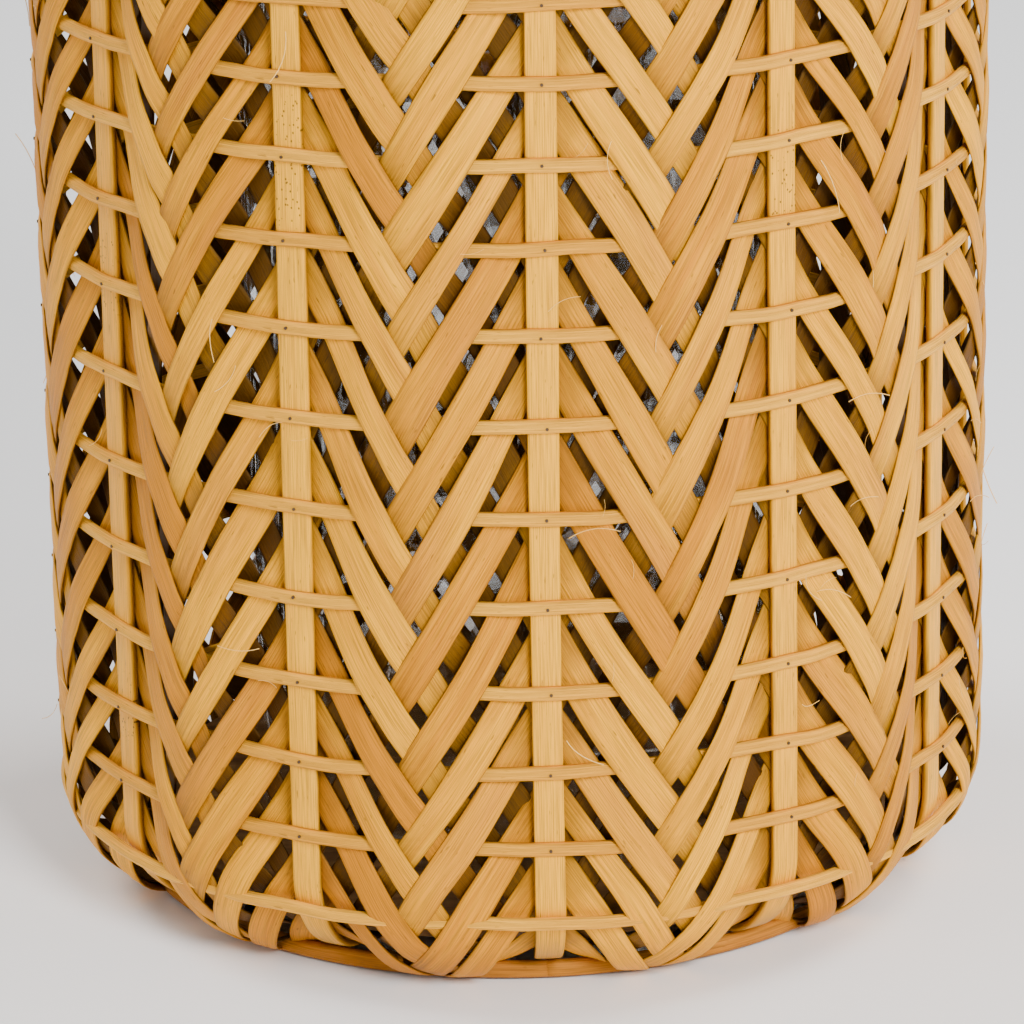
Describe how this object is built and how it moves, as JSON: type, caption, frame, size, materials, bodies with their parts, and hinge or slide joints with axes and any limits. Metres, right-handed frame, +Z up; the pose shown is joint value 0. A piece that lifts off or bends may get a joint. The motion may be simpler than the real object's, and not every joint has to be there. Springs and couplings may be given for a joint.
{
  "type": "woven cane candle lantern",
  "caption": "Open herringbone cane basket lantern with upright stakes, nailed hoops, a lift-out glass cylinder and a fold-down bail.",
  "frame": {"origin": "on the lantern's upright axis, at the level of the foot ring's underside", "axes": "+Z up along the lantern's axis, -Y the front, with one stake facing it, +X to the right seen from the front"},
  "size_m": [0.2752, 0.2566, 0.345],
  "materials": {
    "stake_cane": "split bamboo, satin skin",
    "rod_cane": "half-round cane, satin",
    "strip_cane": "flat split bamboo, dull, fibrous",
    "ring_cane": "flattened cane, dull",
    "bail_cane": "bent cane, satin",
    "plywood": "bare plywood",
    "clear_glass": "clear, polished",
    "steel": "browned steel"
  },
  "bodies": {
    "basket": {"bail_stud_left": "steel", "bail_stud_right": "steel", "floor_board": "plywood", "foot_bend_rod": "rod_cane", "foot_ring": "ring_cane", "left_leaning_strips": "strip_cane", "mouth_cane": "ring_cane", "right_leaning_strips": "strip_cane", "rim_bend_rod": "rod_cane", "rim_ring": "ring_cane", "rod_01": "rod_cane", "rod_02": "rod_cane", "rod_03": "rod_cane", "rod_04": "rod_cane", "rod_05": "rod_cane", "rod_06": "rod_cane", "rod_07": "rod_cane", "rod_08": "rod_cane", "rod_09": "rod_cane", "rod_10": "rod_cane", "rod_11": "rod_cane", "rod_12": "rod_cane", "rod_13": "rod_cane", "rod_brads": "steel", "stake_01": "stake_cane", "stake_02": "stake_cane", "stake_03": "stake_cane", "stake_04": "stake_cane", "stake_05": "stake_cane", "stake_06": "stake_cane", "stake_07": "stake_cane", "stake_08": "stake_cane", "stake_09": "stake_cane", "stake_10": "stake_cane", "stake_11": "stake_cane", "stake_12": "stake_cane"},
    "glass": {"glass_cylinder": "clear_glass"},
    "bail": {"bail_handle": "bail_cane"}
  },
  "joints": [
    {"name": "glass_lift", "type": "slide", "parent": "basket", "child": "glass", "axis": [0, 0, 1], "range_m": [0, 0.345]},
    {"name": "bail_swing", "type": "hinge", "parent": "basket", "child": "bail", "pos_m": [0, 0, 0.2883], "axis": [1, 0, 0], "range_deg": [0, 254]}
  ]
}
